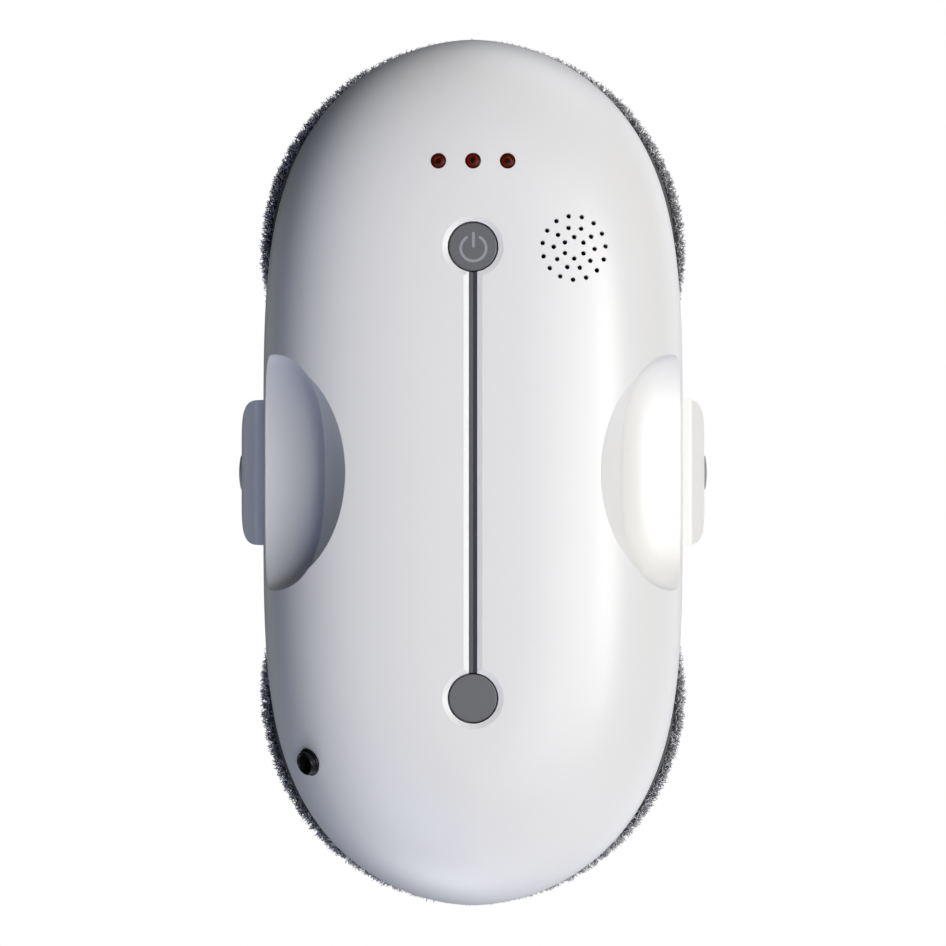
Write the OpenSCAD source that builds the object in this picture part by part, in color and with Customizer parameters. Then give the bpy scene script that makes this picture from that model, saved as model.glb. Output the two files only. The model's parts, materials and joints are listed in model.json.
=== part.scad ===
// Window cleaning robot: two spinning microfibre discs under a smooth oval
// housing with a finger recess on each side.
// Frame: millimetres. Z = 0 is the glass, +Z points away from the glass,
// +Y runs along the long side towards the three status lamps.

/* [Housing] */
// Half width of the housing at its lower rim
shell_a = 69.9; // [68:0.1:71]
// Half length of the housing at its lower rim
shell_b = 140.2; // [139:0.1:142]
// Height of the crown above the glass
crown_z = 98; // [96:0.5:100]
// Wall thickness of the housing
wall = 2.4; // [2:0.1:2.8]

/* [Cleaning discs] */
// Distance between the two disc centres
disc_pitch = 149.8; // [149:0.1:151]
// Outer radius of a microfibre pad
pad_r = 72.5; // [71:0.1:73]
// Thickness of a microfibre pad
pad_h = 10.2; // [9:0.1:10.2]
// Radius of the open suction chamber inside a pad
chamber_r = 47; // [44:1:50]

/* [Drive] */
// Teeth of the ring gear on each disc
ring_teeth = 60; // [60]
// Teeth of the motor pinion
pinion_teeth = 15; // [15]
// Gear module
gear_mod = 1.25; // [1.25]
// Radial clearance of running shafts
run_gap = 0.05; // [0.03:0.01:0.08]

/* [Controls] */
// Radius of the two round buttons
button_r = 7.3; // [7:0.05:7.4]
// Distance of each button from the middle
button_y = 67.75; // [67:0.05:68]
// Radius of the status lamps
lamp_r = 2.3; // [2:0.1:2.4]
// Distance between neighbouring status lamps
lamp_pitch = 10.4; // [10:0.1:11]

/* [Power inlet] */
// Bore radius of the round power inlet
inlet_bore_r = 2.8; // [2.7:0.05:2.85]

/* [Hidden] */
$fn = 64;

disc_y = disc_pitch / 2;
rim_z = 22;          // lower rim of the housing
side_z = 53;         // height where the straight side ends
draft = 0.0013;      // inward lean of the side per millimetre
nx = 1.84;           // outline exponent across
ny = 4.16;           // outline exponent along
keep_y = 0.55;       // share of the length that the crown line keeps
dome_x = 4;          // section exponent of the dome across: a nearly flat crown
dome_h = 2.5;        // section exponent of the dome in height
gear_r = gear_mod * ring_teeth / 2;
pin_r = gear_mod * pinion_teeth / 2;
pin_x = (gear_r + pin_r) * sin(45);
pin_y = disc_y - pin_x;
lamp_y = 93.5;
speaker_x = 30.4;
speaker_y = 67.5;
plunger_z = 29.6;
lug_screw_y = 20.6;
white = [0.92, 0.92, 0.94];
grey = [0.40, 0.41, 0.43];
black = [0.05, 0.05, 0.06];
steel = [0.72, 0.73, 0.75];

// ---------------------------------------------------------------- housing
function spow(v, e) = sign(v) * pow(abs(v), e);
// Stations round the outline, closer together on the long straight sides
quarter = [for (i = [0:19]) 90 * pow(i / 20, 1.7)];
around = concat(quarter, [90], [for (i = [1:19]) 180 - quarter[20 - i]],
  [for (q = quarter) 180 + q], [270], [for (i = [1:19]) 360 - quarter[20 - i]]);
function outline(a, b, s = 1) = [for (t = around)
  [a * s * spow(cos(t), 2 / nx), b * (keep_y + (1 - keep_y) * s) * spow(sin(t), 2 / ny)]];
dome_steps = [0, 9, 18, 27, 36, 45, 54, 62, 70, 77, 83, 88];
// One closed oval body: straight side, then a dome that narrows to a line
module oval(a, b, top, bottom) {
  h = top - side_z;
  levels = concat([[bottom, 1 - draft * (bottom - rim_z)]],
    [for (th = dome_steps) let (z = side_z + h * pow(sin(th), 2 / dome_h))
      [z, (1 - draft * (z - rim_z)) * pow(cos(th), 2 / dome_x)]]);
  n = len(around);
  m = len(levels);
  pts = [for (l = levels) for (p = outline(a, b, l[1])) [p[0], p[1], l[0]]];
  sides = [for (j = [0:m - 2]) for (i = [0:n - 1]) let (k = (i + 1) % n)
    [j * n + i, (j + 1) * n + i, (j + 1) * n + k, j * n + k]];
  polyhedron(pts, concat(sides, [[for (i = [0:n - 1]) i]],
    [[for (i = [0:n - 1]) m * n - 1 - i]]), convexity = 4);
}
// Finger recess: a bowl with a nearly flat floor that falls outwards a little, and a
// ball cut above it that thins the edge towards the crown
module bowl(grow) {
  n = 36;
  levels = [for (k = [0.2, 0.5, 0.7, 0.83, 0.92, 0.975, 0.996, 1]) [k, 12.3 * (1 - pow(1 - pow(k, 4), 1 / 4))]];
  all_levels = concat(levels, [[1.04, 38.5]]);
  m = len(all_levels);
  pts = [for (l = all_levels) for (i = [0:n - 1])
    let (t = i * 360 / n, x = 72 + (26.5 + grow) * l[0] * spow(cos(t), 2 / 3))
    [x, (37.5 + grow) * l[0] * spow(sin(t), 2 / 3), 65.1 - grow + l[1] + 0.2 * (66 - x)]];
  sides = [for (j = [0:m - 2]) for (i = [0:n - 1]) let (k = (i + 1) % n)
    [j * n + i, (j + 1) * n + i, (j + 1) * n + k, j * n + k]];
  polyhedron(pts, concat(sides, [[for (i = [0:n - 1]) i]],
    [[for (i = [0:n - 1]) m * n - 1 - i]]), convexity = 4);
}
module recess(grow) {
  bowl(grow);
  intersection() {
    translate([90.8, 0, 113.9]) sphere(r = 55.5 + grow, $fn = 96);
    translate([20, -60, 80 - grow]) cube([120, 120, 40]);
  }
}
module recesses(grow) {
  recess(grow);
  mirror([1, 0, 0]) recess(grow);
}
inlet_at = [-49.7, -88.4, 84.3];
module at_inlet() translate(inlet_at) rotate([0, 0, 198]) rotate([0, 48, 0]) children();
screw_spots = [for (sx = [-1, 1]) for (p = [[61.2, 14.5], [40, 117]]) for (sy = [-1, 1]) [sx * p[0], sy * p[1]]];
module top_shell() color(white) {
  difference() {
    union() {
      difference() {
        oval(shell_a, shell_b, crown_z, rim_z);
        recesses(0);
        difference() {
          oval(shell_a - wall, shell_b - wall, crown_z - wall, rim_z - 1);
          recesses(wall);
        }
      }
      intersection() {
        oval(shell_a - wall / 2, shell_b - wall / 2, crown_z - wall / 2, rim_z);
        difference() {
          union() {
            // Screw posts down to the base
            for (p = screw_spots) translate([p[0], p[1], 27]) cylinder(r = 3.4, h = 50, $fn = 32);
            // Button guides, rib under the strip, posts for the small boards
            for (s = [-1, 1]) translate([0, s * button_y, 90]) cylinder(r = 10, h = 9);
            for (s = [-1, 1]) for (q = [-1, 1])
              translate([q * 9.5, s * button_y + s * q * 9.5, 84.2]) cylinder(r = 2.2, h = 14, $fn = 24);
            for (q = [-1, 1]) translate([q * 15.5, 99, 89.4]) cylinder(r = 2.4, h = 9, $fn = 24);
            translate([-3.4, -60, 92.6]) cube([6.8, 120, 6]);
            at_inlet() translate([0, 0, -6]) cylinder(r = 7.2, h = 8, $fn = 48);
          }
          recesses(wall / 2);
        }
      }
    }
    // Pilot holes in the posts
    for (p = screw_spots) translate([p[0], p[1], 26]) cylinder(r = 1.3, h = 12, $fn = 24);
    // Round seats of the two buttons
    for (s = [-1, 1]) translate([0, s * button_y, 0]) {
      translate([0, 0, 89]) cylinder(r = 7.6, h = 12);
      translate([0, 0, crown_z - 0.4]) cylinder(r1 = 7.6, r2 = 10.3, h = 0.64);
    }
    // Groove of the centre strip with sloping sides
    translate([-1.25, -60.5, 94.4]) cube([2.5, 121, 6]);
    translate([0, 60.5, 0]) rotate([90, 0, 0]) linear_extrude(121)
      polygon([[-1.25, crown_z - 0.38], [1.25, crown_z - 0.38], [3.95, crown_z + 0.24], [-3.95, crown_z + 0.24]]);
    // Lamp holes
    for (i = [-1:1]) at_lamp(i) translate([0, 0, -6]) cylinder(r = lamp_r + 0.08, h = 12, $fn = 32);
    // Sound holes in three rings
    for (ringdef = [[15, 9.6, -10], [10, 6.2, -16], [6, 3.24, 0]]) for (k = [0:ringdef[0] - 1])
      let (a = 90 - ringdef[2] - k * 360 / ringdef[0])
        translate([speaker_x + ringdef[1] * cos(a), speaker_y + ringdef[1] * sin(a), 80])
          cylinder(r = 0.7, h = 20, $fn = 16);
    // Power inlet
    at_inlet() translate([0, 0, -12]) cylinder(r = 3.7, h = 18, $fn = 48);
    // Side openings for the plunger stems and the lug screws
    for (s = [-1, 1]) {
      translate([s * 60, 0, plunger_z]) rotate([0, s * 90, 0]) cylinder(r = 3, h = 14, $fn = 32);
      for (q = [-1, 1]) translate([s * 60, q * lug_screw_y, 33]) rotate([0, s * 90, 0]) cylinder(r = 1.5, h = 14, $fn = 24);
    }
  }
}
module base_outline(inset) polygon(outline(shell_a - inset, shell_b - inset));
module by_disc() for (r = [0, 180]) rotate([0, 0, r]) children();
leg_turn = [15, -45, -105];
module at_legs() translate([pin_x, pin_y, 0]) for (a = leg_turn) rotate([0, 0, a]) translate([15.8, 0, 0]) children();
tray_legs = [[-49, 42], [-54, 84], [-24, 30.5]];
board_posts = [[49, -40], [53, -84], [24, -31]];
module chassis() color([0.62, 0.63, 0.66]) {
  difference() {
    union() {
      translate([0, 0, 16]) linear_extrude(2.5) base_outline(1.6);
      translate([0, 0, 17.2]) linear_extrude(rim_z - 17.2) difference() { base_outline(0.9); base_outline(3.4); }
      difference() {
        translate([0, 0, 18]) linear_extrude(8.4) difference() { base_outline(3.2); base_outline(5); }
        // Notches that the plunger clips move in
        for (s = [-1, 1]) translate([s * 66 - 4, -5.6, 24.5]) cube([8, 11.2, 4]);
      }
      for (s = [-1, 1]) translate([0, s * disc_y, 16]) cylinder(r = 23, h = 8);
      by_disc() at_legs() translate([0, 0, 18]) cylinder(r = 3.2, h = 15.6, $fn = 32);
      for (s = [-1, 1]) translate([s * 33, s * 6, 18]) cylinder(r = 3.4, h = 16.5, $fn = 32);
      for (p = tray_legs) translate([p[0], p[1], 18]) cylinder(r = 3, h = 16.2, $fn = 32);
      for (p = board_posts) translate([p[0], p[1], 18]) cylinder(r = 3, h = 22, $fn = 32);
      for (p = screw_spots) translate([p[0], p[1], 16]) cylinder(r = 4.2, h = 11, $fn = 32);
      for (s = [-1, 1]) translate([s * 58 - 2.6, -8, 18]) cube([5.2, 16, 6.5]);
    }
    for (s = [-1, 1]) translate([0, s * disc_y, 15]) cylinder(r = 19, h = 10);
    // Screw holes from below with sunk heads
    for (p = screw_spots) translate([p[0], p[1], 15]) {
      cylinder(r = 1.6, h = 13, $fn = 24);
      cylinder(r = 3.1, h = 4.6, $fn = 32);
    }
    by_disc() at_legs() translate([0, 0, 24]) cylinder(r = 1.3, h = 10, $fn = 24);
    for (s = [-1, 1]) translate([s * 33, s * 6, 24]) cylinder(r = 1.3, h = 11, $fn = 24);
    // Exhaust slots in the waist between the discs
    for (i = [0:3]) translate([41.9 + i * 2.9, -9.5, 15]) cube([1.5, 19, 5]);
  }
}

// ---------------------------------------------------------------- cleaning discs
// A pad is a thick ring with a rounded outer edge
module pad_ring() color([0.55, 0.55, 0.57]) rotate_extrude($fn = 128)
  polygon(concat([[chamber_r, 1.2], [chamber_r + 1.2, 0]],
    [for (a = [-90:15:90]) [pad_r - 5.1 + 5.1 * cos(a), 5.1 + 5.1 * sin(a)]], [[chamber_r, pad_h]]));
module upper_pad() translate([0, disc_y, 0]) pad_ring();
module lower_pad() translate([0, -disc_y, 0]) pad_ring();
module hook_ring() color([0.15, 0.15, 0.16]) translate([0, 0, pad_h]) difference() {
  cylinder(r = 66, h = 11 - pad_h, $fn = 128);
  translate([0, 0, -1]) cylinder(r = 49, h = 3, $fn = 128);
}
module upper_hook_ring() translate([0, disc_y, 0]) hook_ring();
module lower_hook_ring() translate([0, -disc_y, 0]) hook_ring();
// Carrier disc and hollow hub in one piece
module carrier() color([0.30, 0.31, 0.33]) difference() {
  union() {
    translate([0, 0, 11]) cylinder(r = 67, h = 2, $fn = 128);
    translate([0, 0, 13]) cylinder(r = 68, h = 1, $fn = 128);
    translate([0, 0, 14]) cylinder(r = 16 - run_gap, h = 22, $fn = 96);
    translate([0, 0, 9.4]) difference() {
      union() {
        cylinder(r = 45.6, h = 1.6, $fn = 96);
      }
      translate([0, 0, -1]) difference() { cylinder(r = 43.8, h = 2.6, $fn = 96); cylinder(r = 18.5, h = 2.6, $fn = 96);
        for (k = [0:11]) rotate([0, 0, k * 30]) translate([0, -0.9, 0]) cube([45, 1.8, 2.6]); }
    }
  }
  translate([0, 0, 8]) cylinder(r = 13, h = 30, $fn = 96);
  translate([0, 0, 32.6]) difference() { cylinder(r = 17, h = 1.4, $fn = 96); translate([0, 0, -1]) cylinder(r = 15, h = 3.4, $fn = 96); }
}
module upper_carrier() translate([0, disc_y, 0]) carrier();
module lower_carrier() translate([0, -disc_y, 0]) carrier();
// Round grille that keeps lint out of the hub
module inlet_grille() color(black) translate([0, 0, 10]) difference() {
  cylinder(r = 13, h = 1.4, $fn = 96);
  for (ringdef = [[1, 0], [6, 3.8], [12, 7.4], [18, 10.7]]) for (k = [0:ringdef[0] - 1])
    rotate([0, 0, k * 360 / ringdef[0]]) translate([ringdef[1], 0, -1]) cylinder(r = 1.25, h = 4, $fn = 16);
}
module upper_inlet_grille() translate([0, disc_y, 0]) inlet_grille();
module lower_inlet_grille() translate([0, -disc_y, 0]) inlet_grille();
module hub_bush() color([0.86, 0.84, 0.76]) difference() {
  union() {
    translate([0, 0, 14.2]) cylinder(r = 22, h = 1.8, $fn = 96);
    translate([0, 0, 16]) cylinder(r = 19, h = 8, $fn = 96);
  }
  translate([0, 0, 13]) cylinder(r = 16, h = 12, $fn = 96);
}
module hub_bushes() for (s = [-1, 1]) translate([0, s * disc_y, 0]) hub_bush();
module seal_ring() color([0.2, 0.2, 0.2]) translate([0, 0, 14.15]) difference() {
  cylinder(r = 58, h = 1.85, $fn = 128);
  translate([0, 0, -1]) cylinder(r = 54.5, h = 4, $fn = 128);
}
module seal_rings() for (s = [-1, 1]) translate([0, s * disc_y, 0]) seal_ring();

// ---------------------------------------------------------------- gears
// Involute spur gear outline; play is taken off each tooth flank
function flank_turn(rb, r) = r <= rb ? 0 : let (a = acos(rb / r)) tan(a) * 180 / PI - a;
module gear_2d(teeth, add, play) {
  rp = gear_mod * teeth / 2;
  rb = rp * cos(20);
  ra = rp + gear_mod * add;
  rf = rp - gear_mod * 1.25;
  half = 90 / teeth + flank_turn(rb, rp) - play / rp * 180 / PI;
  low = max(rb, rf);
  rs = [for (k = [0:5]) low + (ra - low) * k / 5];
  polygon([for (i = [0:teeth - 1]) let (c = i * 360 / teeth)
    each concat([[rf * cos(c - half), rf * sin(c - half)]],
      [for (k = [0:5]) let (a = c - half + flank_turn(rb, rs[k])) [rs[k] * cos(a), rs[k] * sin(a)]],
      [for (k = [0:5]) let (a = c + half - flank_turn(rb, rs[5 - k])) [rs[5 - k] * cos(a), rs[5 - k] * sin(a)]],
      [[rf * cos(c + half), rf * sin(c + half)]])]);
}
module ring_gear() color([0.93, 0.93, 0.90]) difference() {
  union() {
    translate([0, 0, 24.5]) linear_extrude(8) gear_2d(ring_teeth, 0.88, 0.07);
  }
  translate([0, 0, 24]) cylinder(r = 16 - run_gap, h = 9, $fn = 96);
  for (z = [23.5, 29.5]) translate([0, 0, z]) difference() { cylinder(r = 33.5, h = 4, $fn = 96); translate([0, 0, -1]) cylinder(r = 20, h = 6, $fn = 96); }
  for (k = [0:5]) rotate([0, 0, k * 60 + 30]) translate([26.7, 0, 24]) cylinder(r = 4, h = 9, $fn = 32);
}
module upper_ring_gear() translate([0, disc_y, 0]) ring_gear();
module lower_ring_gear() rotate([0, 0, 180]) upper_ring_gear();
module circlip() color(steel) translate([0, 0, 32.7]) difference() {
  cylinder(r = 18.6, h = 1.2, $fn = 96);
  translate([0, 0, -1]) cylinder(r = 15, h = 4, $fn = 96);
  translate([0, 13, -1]) linear_extrude(4) square([9, 14], center = true);
}
module upper_circlip() translate([0, disc_y, 0]) circlip();
module lower_circlip() rotate([0, 0, 180]) upper_circlip();
module upper_pinion() color([0.93, 0.93, 0.90]) translate([pin_x, pin_y, 0]) difference() {
  translate([0, 0, 24.3]) rotate([0, 0, 15]) linear_extrude(8.4) gear_2d(pinion_teeth, 1, 0.07);
  translate([0, 0, 24]) cylinder(r = 2, h = 9, $fn = 48);
}
module lower_pinion() rotate([0, 0, 180]) upper_pinion();
module upper_drive_shaft() color(steel) translate([pin_x, pin_y, 23.4]) cylinder(r = 2, h = 18.4, $fn = 48);
module lower_drive_shaft() rotate([0, 0, 180]) upper_drive_shaft();
// Bracket plate on three base legs; the gearmotor hangs its shaft through it
module bracket_2d() hull() {
  translate([pin_x, pin_y]) circle(r = 12.25);
  at_legs() circle(r = 3.4);
}
module upper_motor_bracket() color(steel) difference() {
  translate([0, 0, 33.6]) linear_extrude(2.4) bracket_2d();
  translate([pin_x, pin_y, 33]) cylinder(r = 4.2, h = 4, $fn = 48);
  at_legs() translate([0, 0, 33]) cylinder(r = 1.6, h = 4, $fn = 24);
}
module lower_motor_bracket() rotate([0, 0, 180]) upper_motor_bracket();
module upper_gearmotor() color([0.60, 0.61, 0.64]) translate([pin_x, pin_y, 0]) difference() {
  union() {
    translate([0, 0, 33.6]) cylinder(r = 4.2, h = 2.4, $fn = 48);
    translate([0, 0, 36]) cylinder(r = 12.1, h = 19);
    translate([0, 0, 55]) cylinder(r = 11.4, h = 1, $fn = 64);
    translate([0, 0, 56]) cylinder(r = 12.1, h = 17.5);
    translate([0, 0, 73.5]) cylinder(r = 10.4, h = 1.2);
    translate([0, 0, 74.7]) cylinder(r = 3.2, h = 1.6, $fn = 32);
    for (s = [-1, 1]) translate([s * 7 - 0.3, -1.2, 74.5]) cube([0.6, 2.4, 3.4]);
  }
  translate([0, 0, 33]) cylinder(r = 2 + run_gap, h = 9, $fn = 48);
}
module lower_gearmotor() rotate([0, 0, 180]) upper_gearmotor();
module pan_screw(shank_r, head_r, down, head_h) {
  translate([0, 0, -down]) cylinder(r = shank_r, h = down + 0.2, $fn = 24);
  difference() {
    cylinder(r = head_r, h = head_h, $fn = 32);
    for (q = [0, 90]) rotate([0, 0, q]) translate([-head_r * 0.6, -0.35, head_h - 0.8]) cube([head_r * 1.2, 0.7, 1]);
  }
}
module bracket_screws() color(steel) by_disc() at_legs() translate([0, 0, 36]) pan_screw(1.3, 2.7, 9, 1.7);

// ---------------------------------------------------------------- suction
// Flat air duct from both hubs to the fan in the middle
module manifold_2d(g) {
  for (s = [-1, 1]) translate([0, s * disc_y]) circle(r = 19.4 - g);
  square([26 - 2 * g, disc_pitch], center = true);
  hull() for (s = [-1, 1]) translate([s * 20, 0]) circle(r = 11 - g);
}
module suction_manifold() color([0.80, 0.80, 0.80]) difference() {
  union() {
    translate([0, 0, 34.5]) linear_extrude(7.5) manifold_2d(0);
    for (s = [-1, 1]) translate([s * 33, s * 6, 34.5]) cylinder(r = 4, h = 7.5, $fn = 32);
  }
  translate([0, 0, 36]) linear_extrude(4.5) manifold_2d(1.6);
  for (s = [-1, 1]) {
    translate([0, s * disc_y, 34]) cylinder(r = 16.4, h = 4, $fn = 96);
    translate([s * 33, s * 6, 34]) cylinder(r = 1.6, h = 9, $fn = 24);
  }
  translate([0, 0, 38]) cylinder(r = 11.5, h = 5);
}
module volute_2d(g) {
  circle(r = 30 - g, $fn = 96);
  translate([0, 12 + g]) square([40 + (g > 0 ? 1 : 0), 14.4 - 2 * g]);
}
module fan_volute() color([0.20, 0.20, 0.22]) difference() {
  union() {
    translate([0, 0, 42]) linear_extrude(16) volute_2d(0);
    for (s = [-1, 1]) translate([s * 33, s * 6, 42]) cylinder(r = 4, h = 3, $fn = 32);
    for (s = [-1, 1]) translate([s * 26, s * 6 - 4, 42]) cube([0.01 + 7, 8, 3], center = false);
  }
  translate([0, 0, 43.6]) linear_extrude(16) volute_2d(1.6);
  translate([0, 0, 41]) cylinder(r = 11.5, h = 4);
  for (s = [-1, 1]) translate([s * 33, s * 6, 41]) cylinder(r = 1.6, h = 5, $fn = 24);
}
module fan_cover() color([0.20, 0.20, 0.22]) difference() {
  union() {
    translate([0, 0, 58]) linear_extrude(1.8) volute_2d(0);
    translate([0, 0, 59.8]) difference() { cylinder(r = 18, h = 3); translate([0, 0, -1]) cylinder(r = 16.4, h = 5); }
  }
  translate([0, 0, 57]) cylinder(r = 4, h = 5, $fn = 48);
}
// Backward-curved radial impeller between two discs
module impeller() color([0.12, 0.12, 0.13]) difference() {
  union() {
    translate([0, 0, 55]) cylinder(r = 26, h = 1.4, $fn = 96);
    translate([0, 0, 45.2]) difference() { cylinder(r = 26, h = 1.2, $fn = 96); translate([0, 0, -1]) cylinder(r = 12.5, h = 4, $fn = 96); }
    translate([0, 0, 47]) cylinder(r = 4.6, h = 9.4, $fn = 48);
    translate([0, 0, 45.6]) linear_extrude(10) for (k = [0:8]) rotate([0, 0, k * 40])
      polygon(concat([for (i = [0:6]) let (r = 12.6 + 12.9 * i / 6, a = -7 * i) [r * cos(a), r * sin(a)]],
        [for (i = [0:6]) let (r = 25.5 - 12.9 * i / 6, a = -42 + 7 * i + 3.2) [r * cos(a), r * sin(a)]]));
  }
  translate([0, 0, 44]) cylinder(r = 1.5, h = 14, $fn = 48);
}
module fan_shaft() color(steel) translate([0, 0, 46.4]) cylinder(r = 1.5, h = 20, $fn = 48);
module fan_motor() color([0.45, 0.46, 0.48]) difference() {
  union() {
    translate([0, 0, 59.8]) cylinder(r = 16.2, h = 9);
    translate([0, 0, 68.8]) cylinder(r = 15, h = 5.5);
    translate([0, 0, 74.3]) cylinder(r = 5, h = 1.2, $fn = 32);
  }
  translate([0, 0, 59]) cylinder(r = 1.5 + run_gap, h = 8, $fn = 48);
}
module fan_screws() color(steel) for (s = [-1, 1]) translate([s * 33, s * 6, 45]) pan_screw(1.3, 2.8, 19, 1.8);
// Duct that turns the fan air down to the base slots; its top steps down
// where the finger recess lies above it, and one corner clears the bracket
module duct_2d(x) polygon([[40, -11.5], [x, -11.5], [x, 26.6], [43.6, 26.6], [40, 25.6]]);
module exhaust_duct() color([0.20, 0.20, 0.22]) difference() {
  union() {
    translate([0, 0, 18.5]) linear_extrude(38.9) duct_2d(55.1);
    translate([0, 0, 18.5]) linear_extrude(41.3) duct_2d(48.4);
  }
  translate([41.4, -10.1, 17.5]) cube([12.3, 35.3, 38.5]);
  translate([41.4, -10.1, 17.5]) cube([5.6, 35.3, 40.9]);
  translate([39, 13.6, 43.6]) cube([4, 11.2, 14.4]);
}

// ---------------------------------------------------------------- electrics
module battery_tray() color([0.25, 0.26, 0.28]) difference() {
  union() {
    translate([0, 0, 34.2]) linear_extrude(1.8) hull() {
      for (p = tray_legs) translate(p) circle(r = 3.6);
      translate([-50.5, 40]) square([30, 53]);
    }
    translate([-50.5, 38.8, 36]) cube([30, 1.6, 14]);
    translate([-50.5, 91.6, 36]) cube([30, 1.6, 14]);
  }
  translate([0, disc_y, 33]) cylinder(r = 20.4, h = 20, $fn = 96);
}
module battery_cells() color([0.16, 0.42, 0.66]) for (c = [[-42.6, 43.3], [-28.1, 43.3], [-42.6, 57.8], [-28.1, 57.8]])
  translate([c[0], 40.8, c[1]]) rotate([-90, 0, 0]) {
    cylinder(r = 7.2, h = 49, $fn = 48);
    translate([0, 0, 49]) cylinder(r = 2.8, h = 1.2, $fn = 32);
  }
module main_board() color([0.05, 0.30, 0.16]) difference() {
  translate([0, 0, 40]) linear_extrude(1.6) hull() {
    for (p = board_posts) translate(p) circle(r = 4);
    translate([24, -94]) square([24, 20]);
  }
  for (p = board_posts) translate([p[0], p[1], 39]) cylinder(r = 1.3, h = 4, $fn = 24);
}
module board_components() color(black) translate([0, 0, 41.6]) {
  translate([29, -62, 0]) cube([12, 12, 1.4]);
  translate([29, -80, 0]) cube([9, 7, 1.2]);
  translate([44, -64, 0]) cube([4.6, 9, 6]);
  translate([43, -52, 0]) cylinder(r = 4, h = 9, $fn = 32);
  translate([32, -42, 0]) cylinder(r = 3.2, h = 8, $fn = 32);
  translate([41.5, -79, 0]) cube([7, 7, 3.4]);
  translate([28, -92, 0]) cube([15, 5, 7]);
  for (i = [0:3]) translate([26.5, -76 + i * 3.2, 0]) cube([1.2, 2, 0.8]);
}
lamp_tilt = [4.1, 1.6, 4.1];
lamp_turn = [138, 90, 42];
lamp_z = [97.6, 97.9, 97.6];
module at_lamp(i) translate([i * lamp_pitch, lamp_y, lamp_z[i + 1]])
  rotate([0, 0, lamp_turn[i + 1]]) rotate([0, lamp_tilt[i + 1], 0]) children();
// Domed red lamps; each has a collar below the housing wall
module status_lamps() color([0.55, 0.06, 0.04]) for (i = [-1:1]) at_lamp(i) {
  difference() {
    translate([0, 0, -6]) cylinder(r = lamp_r, h = 6.35, $fn = 48);
    translate([0, 0, -0.1]) difference() { cylinder(r = 3, h = 2, $fn = 48); translate([0, 0, -5]) sphere(r = 5.4, $fn = 48); }
  }
  translate([0, 0, -6.6]) cylinder(r = 3, h = 2.4, $fn = 48);
}
module lamp_board() color([0.05, 0.30, 0.16]) difference() {
  translate([-18.5, 88, 87.8]) cube([37, 14, 1.6]);
  for (q = [-1, 1]) translate([q * 15.5, 99, 87.2]) cylinder(r = 1, h = 3, $fn = 24);
}
module speaker() color([0.25, 0.25, 0.27]) translate([speaker_x, speaker_y, 91.6]) rotate([0, 0, 10]) rotate([0, 10, 0]) {
  translate([0, 0, -2.4]) difference() { cylinder(r = 13, h = 2.6); translate([0, 0, 0.8]) cylinder(r1 = 6, r2 = 11.8, h = 1.9); }
  translate([0, 0, -5]) cylinder(r = 7.4, h = 2.8);
}

// ---------------------------------------------------------------- buttons
module button_cap() {
  rotate_extrude($fn = 96) polygon(concat([[0, 88.4], [8.7, 88.4], [8.7, 89.8], [button_r, 89.8]],
    [for (a = [0:22.5:90]) [button_r - 0.4 + 0.4 * cos(a), 97 + 0.4 * sin(a)]], [[0, 97.4]]));
}
module icon_2d() translate([0.13, 0]) {
  translate([0, -0.48]) {
    difference() { circle(r = 4.22, $fn = 96); circle(r = 3.4, $fn = 96);
      polygon([[0, 0], [-4.33, 7.2], [4.33, 7.2]]); }
    for (s = [-1, 1]) translate([s * 3.81 * sin(31), 3.81 * cos(31)]) circle(r = 0.41, $fn = 32);
  }
  hull() { translate([0, 0.13]) circle(r = 0.43, $fn = 32); translate([0, 4]) circle(r = 0.43, $fn = 32); }
}
module power_button() color(grey) difference() {
  translate([0, button_y, 0]) button_cap();
  translate([0, button_y, 97.1]) linear_extrude(1) icon_2d();
}
module power_icon() color([0.66, 0.66, 0.70]) translate([0, button_y, 97.1]) linear_extrude(0.32) icon_2d();
module lower_button() color(grey) translate([0, -button_y, 0]) button_cap();
// Round-wire compression spring along +Z
module coil(radius, wire, height, turns) {
  n = 6;
  per = 14;
  rings = turns * per;
  pts = [for (i = [0:rings]) let (a = i * 360 / per, z = wire + (height - 2 * wire) * i / rings)
    for (j = [0:n - 1]) let (b = j * 360 / n)
      [(radius + wire * cos(b)) * cos(a), (radius + wire * cos(b)) * sin(a), z + wire * sin(b)]];
  polyhedron(pts, concat([for (i = [0:rings - 1]) for (j = [0:n - 1]) let (k = (j + 1) % n)
    [i * n + j, i * n + k, (i + 1) * n + k, (i + 1) * n + j]],
    [[for (j = [0:n - 1]) n - 1 - j]], [[for (j = [0:n - 1]) rings * n + j]]), convexity = 8);
}
module power_spring() color(steel) translate([0, button_y, 84.25]) coil(6.4, 0.35, 4.1, 3);
module lower_button_spring() color(steel) translate([0, -button_y, 84.25]) coil(6.4, 0.35, 4.1, 3);
module button_switches() color(black) for (s = [-1, 1]) translate([0, s * button_y, 84.2]) {
  translate([-3, -3, 0]) cube([6, 6, 2.6]);
  translate([0, 0, 2.6]) cylinder(r = 1.7, h = 0.7, $fn = 32);
}
module button_boards() color([0.05, 0.30, 0.16]) for (s = [-1, 1]) translate([0, s * button_y, 82.6])
  linear_extrude(1.6) difference() {
    square([24, 24], center = true);
    for (q = [-1, 1]) translate([q * 9.5, s * q * 9.5]) circle(r = 1, $fn = 24);
  }
// Inlay with a shallow V-shaped face that fills the groove
module centre_strip() color(grey) translate([0, 60.15, 0]) rotate([90, 0, 0]) linear_extrude(120.3)
  polygon([[-1.25, 94.4], [1.25, 94.4], [1.25, crown_z - 0.48], [0, crown_z - 1.5], [-1.25, crown_z - 0.48]]);

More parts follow.
